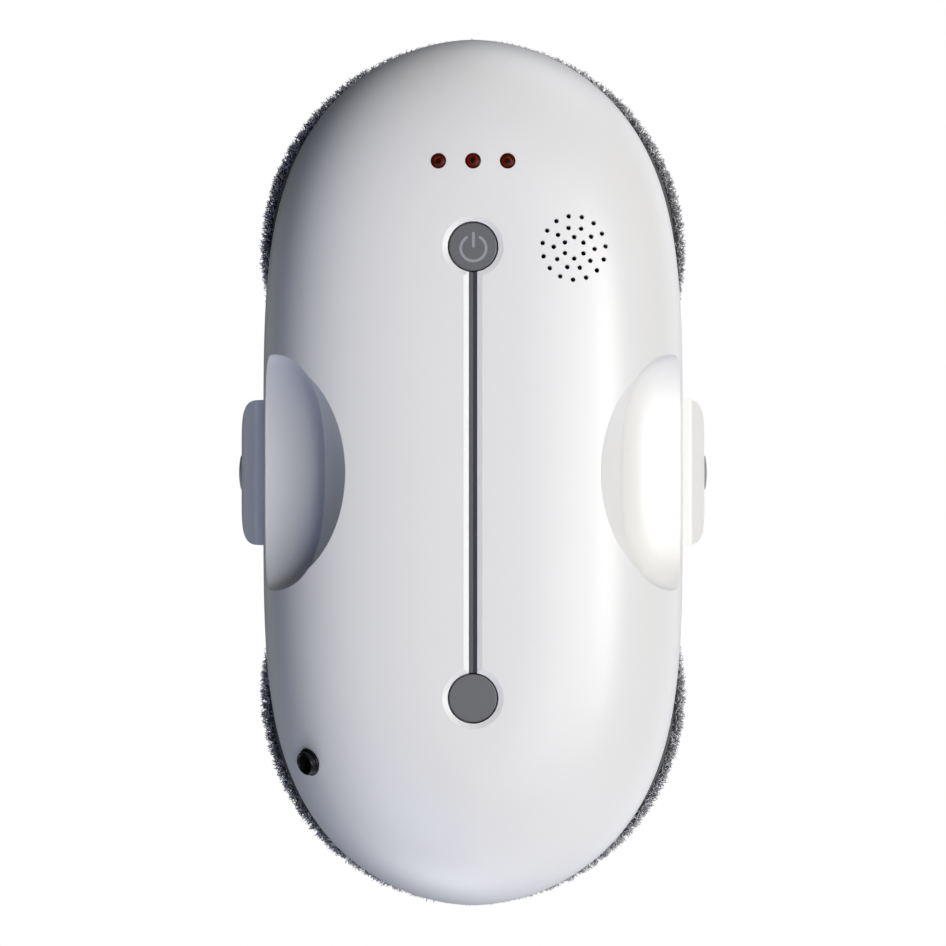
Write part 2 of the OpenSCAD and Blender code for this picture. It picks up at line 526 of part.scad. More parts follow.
// ---------------------------------------------------------------- side lugs
lug_x = 75.85;
module lug_raw() intersection() {
  translate([0, 0, 22.6]) linear_extrude(20) polygon([for (i = [0:48]) let (t = -90 + i * 180 / 48)
    [66 + (lug_x - 66) * spow(cos(t), 2 / 5), 23.6 * spow(sin(t), 2 / 5)]]);
  translate([0, 30, 0]) rotate([90, 0, 0]) linear_extrude(60) polygon(concat(
    [[60, 22.6], [lug_x - 1.2, 22.6]],
    [for (a = [-75:15:0]) [lug_x - 1.2 + 1.2 * cos(a), 23.8 + 1.2 * sin(a)]],
    [for (a = [0:9:45]) [lug_x - 5 + 5 * cos(a), 35.2 + 5 * sin(a)]],
    [for (a = [45:9:90]) [70.1 + 2 * cos(a), 40.1 + 2 * sin(a)]], [[60, 42.4]]));
}
module right_lug() color(white) difference() {
  lug_raw();
  oval(shell_a, shell_b, crown_z, rim_z - 0.5);
  translate([70.3, 0, plunger_z]) rotate([0, 90, 0]) cylinder(r = 5.75, h = 12, $fn = 64);
  translate([60, 0, plunger_z]) rotate([0, 90, 0]) cylinder(r = 2.45, h = 14, $fn = 48);
  for (q = [-1, 1]) translate([60, q * lug_screw_y, 33]) rotate([0, 90, 0]) cylinder(r = 1.3, h = 13.6, $fn = 24);
}
module left_lug() mirror([1, 0, 0]) right_lug();
// Domed head on a stem; the head shows in the outer face of the lug
module right_plunger() color([0.12, 0.12, 0.13]) translate([0, 0, plunger_z]) rotate([0, 90, 0]) {
  intersection() {
    translate([0, 0, 73.8]) cylinder(r = 5.6, h = 4, $fn = 64);
    translate([0, 0, 77.15 - 26]) sphere(r = 26, $fn = 128);
  }
  difference() {
    translate([0, 0, 63.2]) cylinder(r = 2.4, h = 10.8, $fn = 48);
    translate([0, 0, 65.5]) difference() { cylinder(r = 3, h = 0.9, $fn = 48); translate([0, 0, -1]) cylinder(r = 1.8, h = 3, $fn = 48); }
  }
}
module left_plunger() mirror([1, 0, 0]) right_plunger();
module right_plunger_spring() color(steel) translate([70.35, 0, plunger_z]) rotate([0, 90, 0]) coil(4.1, 0.3, 3.4, 3);
module left_plunger_spring() mirror([1, 0, 0]) right_plunger_spring();
module right_plunger_clip() color(steel) translate([65.5, 0, plunger_z]) rotate([0, 90, 0])
  difference() { cylinder(r = 4, h = 0.9, $fn = 48); translate([0, 0, -1]) cylinder(r = 1.8, h = 3, $fn = 48); }
module left_plunger_clip() mirror([1, 0, 0]) right_plunger_clip();
module bump_switches() color(black) for (s = [-1, 1]) {
  translate([s * 58.3 - 3, -6, 24.5]) cube([6, 12, 8.4]);
  translate([s * 61.3 - 0.45, -1.5, 28.4]) cube([0.9, 3, 2.4]);
}

// ---------------------------------------------------------------- power inlet
module inlet_collar() color(black) at_inlet() rotate_extrude($fn = 96)
  polygon([[inlet_bore_r, -5], [3.6, -5], [3.6, 0.35], [4.3, 0.35], [4.3, 0.8], [3.6, 1.15],
    [3.6, 2.3], [3.35, 2.6], [inlet_bore_r + 0.15, 2.6], [inlet_bore_r, 2.45]]);
module inlet_jack() color([0.10, 0.10, 0.11]) at_inlet() difference() {
  union() {
    translate([0, 0, -15]) cylinder(r = 6, h = 9, $fn = 48);
    translate([0, 0, -6]) cylinder(r = 3.6, h = 1, $fn = 48);
  }
  difference() {
    translate([0, 0, -13.5]) cylinder(r = 3, h = 10, $fn = 48);
    // Centre pin, shorter than the barrel of a plug
    translate([0, 0, -14]) cylinder(r = 1, h = 8.2, $fn = 32);
  }
}
// Eight long screws from below and two short ones into each side lug
module housing_screws() color(steel) {
  for (p = screw_spots) translate([p[0], p[1], 19.6]) mirror([0, 0, 1]) pan_screw(1.3, 2.9, 16, 2.2);
  for (s = [-1, 1]) for (q = [-1, 1]) translate([s * 66.2, q * lug_screw_y, 33]) rotate([0, s * -90, 0]) pan_screw(1.3, 2.6, 6.8, 1.7);
}

top_shell();
chassis();
upper_pad();
lower_pad();
upper_hook_ring();
lower_hook_ring();
upper_carrier();
lower_carrier();
upper_inlet_grille();
lower_inlet_grille();
hub_bushes();
seal_rings();
upper_ring_gear();
lower_ring_gear();
upper_circlip();
lower_circlip();
upper_pinion();
lower_pinion();
upper_drive_shaft();
lower_drive_shaft();
upper_motor_bracket();
lower_motor_bracket();
upper_gearmotor();
lower_gearmotor();
bracket_screws();
suction_manifold();
fan_volute();
fan_cover();
impeller();
fan_shaft();
fan_motor();
fan_screws();
exhaust_duct();
battery_tray();
battery_cells();
main_board();
board_components();
status_lamps();
lamp_board();
speaker();
power_button();
power_icon();
power_spring();
lower_button();
lower_button_spring();
button_switches();
button_boards();
centre_strip();
left_lug();
right_lug();
left_plunger();
right_plunger();
left_plunger_spring();
right_plunger_spring();
left_plunger_clip();
right_plunger_clip();
bump_switches();
inlet_collar();
inlet_jack();
housing_screws();
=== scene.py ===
import json
import math

import bpy
import numpy as np
from mathutils import Matrix, Vector


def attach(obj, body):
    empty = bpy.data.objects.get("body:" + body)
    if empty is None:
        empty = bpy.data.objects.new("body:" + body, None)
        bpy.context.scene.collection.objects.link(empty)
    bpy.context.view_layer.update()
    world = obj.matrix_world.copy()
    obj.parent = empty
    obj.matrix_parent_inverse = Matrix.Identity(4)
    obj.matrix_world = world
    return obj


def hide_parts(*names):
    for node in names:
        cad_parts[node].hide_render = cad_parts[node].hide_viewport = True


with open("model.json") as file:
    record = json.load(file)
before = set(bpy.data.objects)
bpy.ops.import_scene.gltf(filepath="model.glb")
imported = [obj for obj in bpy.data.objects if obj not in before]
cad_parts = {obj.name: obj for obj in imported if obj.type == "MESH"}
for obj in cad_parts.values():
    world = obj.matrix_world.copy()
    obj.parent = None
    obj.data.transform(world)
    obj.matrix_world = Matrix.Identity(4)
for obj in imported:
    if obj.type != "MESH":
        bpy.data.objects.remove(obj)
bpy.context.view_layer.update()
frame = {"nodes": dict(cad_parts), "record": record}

nodes = frame["nodes"]
scene = bpy.context.scene

# ------------------------------------------------------------------ sizes, in millimetres
SA, SB, TOP, WALL, RIM, SIDE, DRAFT = 69.9, 140.2, 98.0, 2.4, 22.0, 53.0, 0.0013
NX, NY, KEEP, DX, DH = 1.84, 4.16, 0.55, 4.0, 2.5
DISC_Y, PAD_R, PAD_H, CHAMBER_R = 74.9, 72.5, 10.2, 47.0
BUTTON_R, BUTTON_Y = 7.3, 67.75
LAMP_R, LAMP_Y, LAMP_PITCH = 2.3, 93.5, 10.4
LAMP_TILT, LAMP_TURN, LAMP_Z = (4.1, 1.6, 4.1), (138, 90, 42), (97.6, 97.9, 97.6)
SPEAKER = (30.4, 67.5)
PLUNGER_Z, LUG_X, LUG_SCREW_Y = 29.6, 75.85, 20.6
SCREW_SPOTS = [(sx * x, sy * y) for sx in (-1, 1) for x, y in ((61.2, 14.5), (40, 117)) for sy in (-1, 1)]


def spow(v, e):
    return np.sign(v) * np.abs(v) ** e


def turn_z(deg):
    return Matrix.Rotation(math.radians(deg), 4, "Z")


def turn_y(deg):
    return Matrix.Rotation(math.radians(deg), 4, "Y")


AT_INLET = Matrix.Translation((-49.7, -88.4, 84.3)) @ turn_z(198) @ turn_y(48)


def at_lamp(i):
    return Matrix.Translation((i * LAMP_PITCH, LAMP_Y, LAMP_Z[i + 1])) @ turn_z(LAMP_TURN[i + 1]) @ turn_y(LAMP_TILT[i + 1])


# ------------------------------------------------------------------ mesh helpers
def tag(name):
    return bpy.data.materials.get("tag_" + name) or bpy.data.materials.new("tag_" + name)


def build(name, verts, faces, surface="flat", matrix=None):
    """A closed mesh in millimetres whose faces carry the tag of the surface they lie on."""
    me = bpy.data.meshes.new(name)
    v = [tuple(p) for p in np.asarray(verts, float).tolist()]
    me.from_pydata(v, [], [tuple(int(i) for i in f) for f in faces])
    if matrix is not None:
        me.transform(matrix)
    me.materials.append(tag(surface))
    me.update()
    ob = bpy.data.objects.new(name, me)
    scene.collection.objects.link(ob)
    return ob


def volume(me):
    me.calc_loop_triangles()
    n = len(me.loop_triangles)
    tri = np.zeros(n * 3, np.int32)
    me.loop_triangles.foreach_get("vertices", tri)
    co = np.zeros(len(me.vertices) * 3)
    me.vertices.foreach_get("co", co)
    a, b, c = (co.reshape(-1, 3)[tri.reshape(-1, 3)[:, k]] for k in range(3))
    return float(np.einsum("ij,ij->i", a, np.cross(b, c)).sum() / 6)


def outward(ob):
    if volume(ob.data) < 0:
        ob.data.flip_normals()
    return ob


def rings_to_faces(rings, around, close_ends=True, closed=False):
    faces = []
    for j in range(rings if closed else rings - 1):
        for i in range(around):
            k = (i + 1) % around
            a, b = j * around, ((j + 1) % rings) * around
            faces.append((a + i, a + k, b + k, b + i))
    if close_ends and not closed:
        faces.append(tuple(reversed(range(around))))
        faces.append(tuple((rings - 1) * around + i for i in range(around)))
    return faces


def boolean(a, b, how="DIFFERENCE", keep=False):
    m = a.modifiers.new("cut", "BOOLEAN")
    m.object, m.operation, m.solver, m.material_mode = b, how, "MANIFOLD", "TRANSFER"
    before = len(a.data.polygons)
    dg = bpy.context.evaluated_depsgraph_get()
    me = bpy.data.meshes.new_from_object(a.evaluated_get(dg), depsgraph=dg)
    a.modifiers.clear()
    old, a.data = a.data, me
    bpy.data.meshes.remove(old)
    if not keep:
        gone = b.data
        bpy.data.objects.remove(b)
        bpy.data.meshes.remove(gone)
    print("boolean", how, a.name, before, "->", len(me.polygons))
    return a


def copy_of(ob, name):
    new = bpy.data.objects.new(name, ob.data.copy())
    scene.collection.objects.link(new)
    return new


def joined(name, objects):
    """Separate closed meshes in one object, with their tags kept."""
    verts, faces, slots, mats = [], [], [], []
    for ob in objects:
        base = len(verts)
        verts += [tuple(v.co) for v in ob.data.vertices]
        for m in ob.data.materials:
            if m not in mats:
                mats.append(m)
        for p in ob.data.polygons:
            faces.append(tuple(base + i for i in p.vertices))
            slots.append(mats.index(ob.data.materials[p.material_index]))
    me = bpy.data.meshes.new(name)
    me.from_pydata(verts, [], faces)
    for m in mats:
        me.materials.append(m)
    me.polygons.foreach_set("material_index", slots)
    me.update()
    new = bpy.data.objects.new(name, me)
    scene.collection.objects.link(new)
    for ob in objects:
        gone = ob.data
        bpy.data.objects.remove(ob)
        bpy.data.meshes.remove(gone)
    return new


def prism(name, outline, z0, z1, surface="flat", matrix=None):
    n = len(outline)
    v = [(x, y, z0) for x, y in outline] + [(x, y, z1) for x, y in outline]
    return outward(build(name, v, rings_to_faces(2, n), surface, matrix))


def cone(name, r0, r1, z0, z1, n=48, surface="round", matrix=None):
    t = np.arange(n) * 2 * math.pi / n
    v = [(r * math.cos(a), r * math.sin(a), z) for r, z in ((r0, z0), (r1, z1)) for a in t]
    return outward(build(name, v, rings_to_faces(2, n), surface, matrix))


def box_mesh(name, lo, hi, surface="flat"):
    return prism(name, [(lo[0], lo[1]), (hi[0], lo[1]), (hi[0], hi[1]), (lo[0], hi[1])], lo[2], hi[2], surface)


# ------------------------------------------------------------------ the housing's own surfaces
def quarter(n):
    return 90.0 * (np.arange(n) / n) ** 2.08


def station_angles(n):
    q = quarter(n)
    return np.radians(np.concatenate([q, [90.0], (180 - q[1:])[::-1], 180 + q, [270.0], (360 - q[1:])[::-1]]))


def oval(name, a, b, top, bottom, surface, n=90, step=2.0):
    t = station_angles(n)
    cx, cy = spow(np.cos(t), 2 / NX), spow(np.sin(t), 2 / NY)
    h = top - SIDE
    levels = [(bottom, 1 - DRAFT * (bottom - RIM))]
    levels += [(z, 1 - DRAFT * (z - RIM)) for z in np.linspace(bottom, SIDE, 7)[1:-1]]
    for th in np.radians(np.arange(0, 88.01, step)):
        z = SIDE + h * math.sin(th) ** (2 / DH)
        levels.append((z, (1 - DRAFT * (z - RIM)) * math.cos(th) ** (2 / DX)))
    v = np.concatenate([np.stack([a * s * cx, b * (KEEP + (1 - KEEP) * s) * cy, np.full(len(t), z)], 1) for z, s in levels])
    return outward(build(name, v, rings_to_faces(len(levels), len(t)), surface))


def oval_normal(p, a, b, top):
    x, y, z = p[:, 0], p[:, 1], p[:, 2]
    h = top - SIDE
    w = 1 - DRAFT * (z - RIM)
    u = np.clip((z - SIDE) / h, 0, 0.99999)
    sd_z = (1 - u ** DH) ** (1 / DX)
    s_z = w * sd_z
    lo, hi = np.full(len(x), 1e-3), np.full(len(x), 1.1)
    for _ in range(44):
        s = (lo + hi) / 2
        f = np.abs(x / (a * s)) ** NX + np.abs(y / (b * (KEEP + (1 - KEEP) * s))) ** NY
        lo, hi = np.where(f > 1, s, lo), np.where(f > 1, hi, s)
    s_xy = (lo + hi) / 2
    mix = np.clip((s_z - 0.6) / 0.15, 0, 1)
    s = np.maximum(s_xy * (1 - mix) + s_z * mix, 2e-3)
    sd = np.clip(s / w, 1e-4, 1.0)
    u = (1 - np.minimum(sd, 0.999999) ** DX) ** (1 / DH)
    wall = z <= SIDE
    dsdz = np.where(wall, -DRAFT, -DRAFT * sd - w * DH / DX * u ** (DH - 1) * sd ** (1 - DX) / h)
    q = b * (KEEP + (1 - KEEP) * s)
    gx = NX * np.abs(x / (a * s)) ** (NX - 1) * np.sign(x) / (a * s)
    gy = NY * np.abs(y / q) ** (NY - 1) * np.sign(y) / q
    gs = -NX * np.abs(x / (a * s)) ** NX / s - NY * np.abs(y / q) ** NY * b * (1 - KEEP) / q
    n = np.stack([gx, gy, gs * dsdz], 1)
    return n / np.maximum(np.linalg.norm(n, axis=1, keepdims=True), 1e-12)


BOWL_P, BOWL_E, BOWL_Z, BOWL_H, BOWL_LEAN = 3.0, 4.0, 65.1, 12.3, 0.2


def bowl(name, grow, side, n=200):
    """Bowl of a finger recess, whose floor falls outwards, with a slightly flaring throat."""
    fine = np.linspace(0, 2 * math.pi, 4001)
    fx, fy = 26.5 * spow(np.cos(fine), 2 / BOWL_P), 37.5 * spow(np.sin(fine), 2 / BOWL_P)
    run = np.concatenate([[0], np.cumsum(np.hypot(np.diff(fx), np.diff(fy)))])
    t = np.interp(np.arange(n) * run[-1] / n, run, fine)
    cx, cy = spow(np.cos(t), 2 / BOWL_P), spow(np.sin(t), 2 / BOWL_P)
    ks = np.concatenate([np.linspace(0.06, 0.86, 21), 1 - 0.14 * np.cos(np.linspace(0, math.pi / 2, 16))[1:]])
    levels = [(k, BOWL_H * (1 - max(0.0, 1 - k ** BOWL_E) ** (1 / BOWL_E))) for k in ks] + [(1.04, 38.5)]
    v = []
    for k, up in levels:
        x = 72 + (26.5 + grow) * k * cx
        v.append(np.stack([side * x, (37.5 + grow) * k * cy, BOWL_Z - grow + up + BOWL_LEAN * (66 - x)], 1))
    return outward(build(name, np.concatenate(v), rings_to_faces(len(levels), n), ("bowl_r" if side > 0 else "bowl_l") + ("" if grow == 0 else "_in")))


def bowl_normal(p, grow, side):
    x, y, z = p[:, 0] * side, p[:, 1], p[:, 2]
    A, B, m = 26.5 + grow, 37.5 + grow, BOWL_P
    X, Y = (x - 72) / A, y / B
    k_xy = np.maximum((np.abs(X) ** m + np.abs(Y) ** m) ** (1 / m), 1e-6)
    zeta = z - (BOWL_Z - grow) - BOWL_LEAN * (66 - x)
    k_z = (1 - np.clip(1 - zeta / BOWL_H, 0, 1) ** BOWL_E) ** (1 / BOWL_E)
    mix = np.clip((zeta - 0.2 * BOWL_H) / (0.2 * BOWL_H), 0, 1)
    k = np.clip(k_xy * (1 - mix) + k_z * mix, 1e-6, 0.99999)
    df = BOWL_H * k ** (BOWL_E - 1) * (1 - k ** BOWL_E) ** (1 / BOWL_E - 1)
    kx = k_xy ** (1 - m) * np.abs(X) ** (m - 1) * np.sign(X) / A
    ky = k_xy ** (1 - m) * np.abs(Y) ** (m - 1) * np.sign(Y) / B
    low = np.stack([-df * kx + BOWL_LEAN, -df * ky, np.ones(len(x))], 1)
    low /= np.linalg.norm(low, axis=1, keepdims=True)
    c = 0.04 / (38.5 - BOWL_H)
    high = np.stack([-kx + c * BOWL_LEAN, -ky, np.full(len(x), c)], 1)
    high /= np.maximum(np.linalg.norm(high, axis=1, keepdims=True), 1e-12)
    n = np.where((zeta > 0.99 * BOWL_H)[:, None], high, low)
    n[:, 0] *= side
    return n


BALL, BALL_R, BALL_FROM = (90.8, 0.0, 113.9), 55.5, 80.0


def ball(name, grow, side):
    """The part of the ball cut that lies above the bowl's throat, as a solid of revolution."""
    r, n, m = BALL_R + grow, 240, 44
    a0 = math.asin((BALL_FROM - grow - BALL[2]) / r)
    a1 = math.asin((102.0 - BALL[2]) / r)
    v = []
    for a in np.linspace(a0, a1, m):
        for i in range(n):
            b = 2 * math.pi * i / n
            v.append((BALL[0] * side + r * math.cos(a) * math.cos(b), r * math.cos(a) * math.sin(b), BALL[2] + r * math.sin(a)))
    return outward(build(name, v, rings_to_faces(m, n), ("ball_r" if side > 0 else "ball_l") + ("" if grow == 0 else "_in")))


def ball_normal(p, side):
    n = np.array([BALL[0] * side, 0, BALL[2]]) - p
    return n / np.linalg.norm(n, axis=1, keepdims=True)


ANALYTIC = {
    "tag_outer": lambda p: oval_normal(p, SA, SB, TOP),
    "tag_inner": lambda p: -oval_normal(p, SA - WALL, SB - WALL, TOP - WALL),
    "tag_mid": lambda p: oval_normal(p, SA - WALL / 2, SB - WALL / 2, TOP - WALL / 2),
    "tag_bowl_r": lambda p: bowl_normal(p, 0, 1),
    "tag_bowl_l": lambda p: bowl_normal(p, 0, -1),
    "tag_bowl_r_in": lambda p: -bowl_normal(p, WALL, 1),
    "tag_bowl_l_in": lambda p: -bowl_normal(p, WALL, -1),
    "tag_ball_r": lambda p: ball_normal(p, 1),
    "tag_ball_l": lambda p: ball_normal(p, -1),
    "tag_ball_r_in": lambda p: -ball_normal(p, 1),
    "tag_ball_l_in": lambda p: -ball_normal(p, -1),
}


def finish_normals(ob, limit=40.0):
    """Exact normals on the tagged curved surfaces, and smoothed ones within each other surface up to the limit angle."""
    me = ob.data
    nl, npoly = len(me.loops), len(me.polygons)
    co = np.zeros(len(me.vertices) * 3)
    me.vertices.foreach_get("co", co)
    co = co.reshape(-1, 3)
    lv = np.zeros(nl, np.int32)
    me.loops.foreach_get("vertex_index", lv)
    start, total, slot = (np.zeros(npoly, np.int32) for _ in range(3))
    me.polygons.foreach_get("loop_start", start)
    me.polygons.foreach_get("loop_total", total)
    me.polygons.foreach_get("material_index", slot)
    fn = np.zeros(npoly * 3)
    me.polygons.foreach_get("normal", fn)
    fn = fn.reshape(-1, 3)
    face_of = np.repeat(np.arange(npoly), total)
    # loops are stored face by face
    order = np.argsort(start, kind="stable")
    face_of = np.repeat(order, total[order])
    normals = fn[face_of].copy()
    slots = slot[face_of]
    names = [m.name for m in me.materials]
    for i, name in enumerate(names):
        pick = slots == i
        if not pick.any():
            continue
        if name in ANALYTIC:
            n = ANALYTIC[name](co[lv[pick]])
            own = fn[face_of[pick]]
            away = np.einsum("ij,ij->i", n, own) < -0.2
            n[away] = -n[away]
            normals[pick] = n
        elif name != "tag_flat":
            # distinct face normals that meet at a vertex within the limit are averaged
            at = {}
            idx = np.nonzero(pick)[0]
            for l in idx:
                at.setdefault(int(lv[l]), []).append(int(l))
            cosine = math.cos(math.radians(limit))
            for ls in at.values():
                distinct = []
                for l in ls:
                    n = fn[face_of[l]]
                    if not any(float(n @ d) > 0.99995 for d in distinct):
                        distinct.append(n)
                for l in ls:
                    n = fn[face_of[l]]
                    s = sum(d for d in distinct if float(n @ d) > cosine)
                    if not np.isscalar(s):
                        normals[l] = s / max(np.linalg.norm(s), 1e-12)
    me.polygons.foreach_set("use_smooth", np.ones(npoly, bool))
    me.normals_split_custom_set(normals.tolist())
    return ob


def to_metres(ob):
    ob.data.transform(Matrix.Scale(0.001, 4))
    ob.data.update()
    return ob


# ------------------------------------------------------------------ camera
PHOTO_PX, FOCAL, SENSOR = 946, 85.0, 36.0
CAM_Z = (7 + PHOTO_PX / 2.937 * FOCAL / SENSOR) / 1000
camera_data = bpy.data.cameras.new("camera")
camera_data.lens, camera_data.sensor_width = FOCAL, SENSOR
camera_data.clip_start, camera_data.clip_end = 0.01, 50
camera = bpy.data.objects.new("camera", camera_data)
camera.location = (0, -0.00016, CAM_Z)
scene.collection.objects.link(camera)
scene.camera = camera


# ------------------------------------------------------------------ material helpers
class Nodes:
    def __init__(self, name):
        self.mat = bpy.data.materials.new(name)
        self.mat.use_nodes = True
        self.tree = self.mat.node_tree
        self.bsdf = self.tree.nodes["Principled BSDF"]

    def add(self, kind, inputs=None, **props):
        n = self.tree.nodes.new(kind)
        for k, v in props.items():
            setattr(n, k, v)
        for k, v in (inputs or {}).items():
            if isinstance(v, bpy.types.NodeSocket):
                self.tree.links.new(v, n.inputs[k])
            else:
                n.inputs[k].default_value = v
        return n

    def link(self, out, where):
        self.tree.links.new(out, where)

    def coords(self):
        return self.add("ShaderNodeTexCoord").outputs["Object"]

    def noise(self, scale, detail=3.0, rough=0.55, vector=None):
        return self.add("ShaderNodeTexNoise", {"Scale": scale, "Detail": detail, "Roughness": rough,
                                               "Vector": vector or self.coords()}).outputs["Fac"]

    def ramp(self, fac, stops, smooth=False):
        n = self.add("ShaderNodeValToRGB", {"Fac": fac})
        e = n.color_ramp.elements
        while len(e) > 1:
            e.remove(e[0])
        e[0].position, e[0].color = stops[0][0], (*stops[0][1], 1)
        for p, c in stops[1:]:
            new = e.new(p)
            new.color = (*c, 1)
        if smooth:
            n.color_ramp.interpolation = "EASE"
        return n.outputs["Color"]

    def span(self, value, lo, hi, a=0.0, b=1.0):
        return self.add("ShaderNodeMapRange", {"Value": value, "From Min": lo, "From Max": hi, "To Min": a, "To Max": b}).outputs["Result"]

    def bump(self, height, strength, distance, normal=None):
        n = self.add("ShaderNodeBump", {"Height": height, "Strength": strength, "Distance": distance})
        if normal is not None:
            self.link(normal, n.inputs["Normal"])
        return n.outputs["Normal"]

    def set(self, **values):
        for k, v in values.items():
            key = k.replace("_", " ")
            sock = self.bsdf.inputs[key]
            if isinstance(v, bpy.types.NodeSocket):
                self.link(v, sock)
            else:
                sock.default_value = (*v, 1) if isinstance(v, tuple) and len(v) == 3 and sock.type == "RGBA" else v
        return self


def moulded(name, colour, spread=0.03, rough=0.4, rough_spread=0.05, grain=260.0, depth=0.02, coat=0.0, coat_rough=0.1, round_edge=0.00025, ior=1.5):
    """Injection-moulded plastic: faint mottling, fine surface grain, small edge rounding."""
    m = Nodes(name)
    v = m.coords()
    broad = m.noise(38.0, 2.0, 0.5, v)
    fine = m.noise(grain * 10, 3.0, 0.6, v)
    lo, hi = tuple(c * (1 - spread) for c in colour), tuple(min(1.0, c * (1 + spread)) for c in colour)
    m.set(Base_Color=m.ramp(broad, [(0.3, lo), (0.7, hi)]), Roughness=m.span(fine, 0.3, 0.7, rough - rough_spread, rough + rough_spread),
          IOR=ior, Coat_Weight=coat, Coat_Roughness=coat_rough)
    edge = m.add("ShaderNodeBevel", {"Radius": round_edge}, samples=4).outputs["Normal"] if round_edge else None
    m.set(Normal=m.bump(fine, depth, 0.0001, edge))
    return m.mat


def metal(name, colour, rough=0.3, scratch=900.0, anis=0.0):
    m = Nodes(name)
    v = m.coords()
    stretch = m.add("ShaderNodeMapping", {"Vector": v, "Scale": (1.0, 0.08, 1.0)}).outputs["Vector"]
    lines = m.noise(scratch, 4.0, 0.65, stretch)
    blot = m.noise(60.0, 2.0, 0.5, v)
    lo, hi = tuple(c * 0.9 for c in colour), tuple(min(1.0, c * 1.06) for c in colour)
    m.set(Base_Color=m.ramp(blot, [(0.35, lo), (0.65, hi)]), Metallic=1.0, Roughness=m.span(lines, 0.3, 0.7, rough - 0.08, rough + 0.1))
    edge = m.add("ShaderNodeBevel", {"Radius": 0.0002}, samples=4).outputs["Normal"]
    m.set(Normal=m.bump(lines, 0.08, 0.0001, edge))
    return m.mat


MAT = {}
MAT["white_gloss"] = moulded("white_gloss", (0.80, 0.80, 0.80), spread=0.004, rough=0.30, rough_spread=0.01, grain=120.0, depth=0.004, round_edge=0.0002, ior=1.46)
MAT["base_grey"] = moulded("base_grey", (0.50, 0.51, 0.54), rough=0.5)
MAT["dark_plastic"] = moulded("dark_plastic", (0.055, 0.057, 0.063), rough=0.46, grain=200.0, depth=0.03)
MAT["black_plastic"] = moulded("black_plastic", (0.007, 0.007, 0.008), rough=0.27, spread=0.08, grain=160.0, depth=0.015, ior=1.38)
MAT["control_grey"] = moulded("control_grey", (0.108, 0.110, 0.121), rough=0.34, grain=220.0, depth=0.012, round_edge=0.0)
MAT["plunger_grey"] = moulded("plunger_grey", (0.29, 0.29, 0.31), rough=0.34, grain=220.0, depth=0.012, round_edge=0.0)
MAT["icon_grey"] = moulded("icon_grey", (0.29, 0.29, 0.33), rough=0.4, grain=220.0, depth=0.01, round_edge=0.0)
MAT["acetal"] = moulded("acetal", (0.80, 0.79, 0.74), rough=0.38)
MAT["bush_plastic"] = moulded("bush_plastic", (0.62, 0.58, 0.46), rough=0.42)
MAT["felt"] = moulded("felt", (0.03, 0.03, 0.032), rough=0.95, spread=0.3, grain=300.0, depth=0.6, round_edge=0.0)
MAT["hook_tape"] = moulded("hook_tape", (0.02, 0.02, 0.022), rough=0.7, spread=0.2, grain=350.0, depth=0.8, round_edge=0.0)
MAT["steel"] = metal("steel", (0.62, 0.62, 0.63))
MAT["motor_can"] = metal("motor_can", (0.50, 0.51, 0.53), rough=0.36)
MAT["circuit"] = moulded("circuit", (0.01, 0.10, 0.045), rough=0.35, spread=0.15, coat=0.5)
MAT["battery_wrap"] = moulded("battery_wrap", (0.03, 0.13, 0.33), rough=0.3, coat=0.4)


def lens():
    """Tinted lamp: red body, with the near-black die, a painted shade round the lens's edge and on one side, and a
    painted amber highlight, laid out by the mesh's own values.
    """
    m = Nodes("lamp_red")
    die_and_shade = m.add("ShaderNodeAttribute", attribute_name="die_and_shade").outputs["Fac"]
    painted_glint = m.add("ShaderNodeAttribute", attribute_name="painted_glint").outputs["Fac"]
    body = m.ramp(m.noise(900.0, 2.0), [(0.3, (0.118, 0.0085, 0.0022)), (0.7, (0.134, 0.0115, 0.0032))])
    # the die and the painted shade both take the near-black colour below
    die_and_shade_mix = m.add("ShaderNodeMix", {"Factor": die_and_shade}, data_type="RGBA")
    m.link(body, die_and_shade_mix.inputs["A"])
    die_and_shade_mix.inputs["B"].default_value = (0.012, 0.0035, 0.0022, 1)
    # painted highlight: the amber crescent glint is mixed over the lens colour
    both = m.add("ShaderNodeMix", {"Factor": painted_glint}, data_type="RGBA")
    m.link(die_and_shade_mix.outputs["Result"], both.inputs["A"])
    both.inputs["B"].default_value = (0.27, 0.048, 0.008, 1)
    m.set(Base_Color=both.outputs["Result"], Roughness=0.16, Specular_IOR_Level=0.05)
    return m.mat


MAT["lamp_red"] = lens()


def fleece():
    m = Nodes("microfibre")
    v = m.coords()
    tuft = m.add("ShaderNodeAttribute", attribute_name="tuft").outputs["Fac"]
    tip = m.add("ShaderNodeAttribute", attribute_name="tip").outputs["Fac"]
    clump = m.noise(900.0, 3.0, 0.6, v)
    shade = m.add("ShaderNodeMath", {0: tuft, 1: clump}, operation="ADD").outputs[0]
    fibre = m.ramp(m.span(shade, 0.3, 1.7), [(0.0, (0.12, 0.12, 0.138)), (0.45, (0.40, 0.40, 0.435)), (1.0, (0.80, 0.80, 0.84))])
    # painted shade: each tuft is near-black at its root and on the backing, and turns to the fibre's tone towards its
    # point
    root = m.add("ShaderNodeMix", {"Factor": m.span(tip, 0.0, 0.75, 0.0, 1.0)}, data_type="RGBA")
    root.inputs["A"].default_value = (0.035, 0.036, 0.042, 1)
    m.link(fibre, root.inputs["B"])
    m.set(Base_Color=root.outputs["Result"], Roughness=m.span(clump, 0.3, 0.7, 0.65, 0.85), Sheen_Weight=0.25, Sheen_Roughness=0.5, Specular_IOR_Level=0.35)
    m.set(Normal=m.bump(clump, 0.3, 0.0002))
    return m.mat


MAT["microfibre"] = fleece()

SLOT_OF = {s["node"]: s["material_slot"] for s in frame["record"]["subparts"]}
for name, ob in nodes.items():
    ob.data.materials.clear()
    ob.data.materials.append(MAT[SLOT_OF[name]])


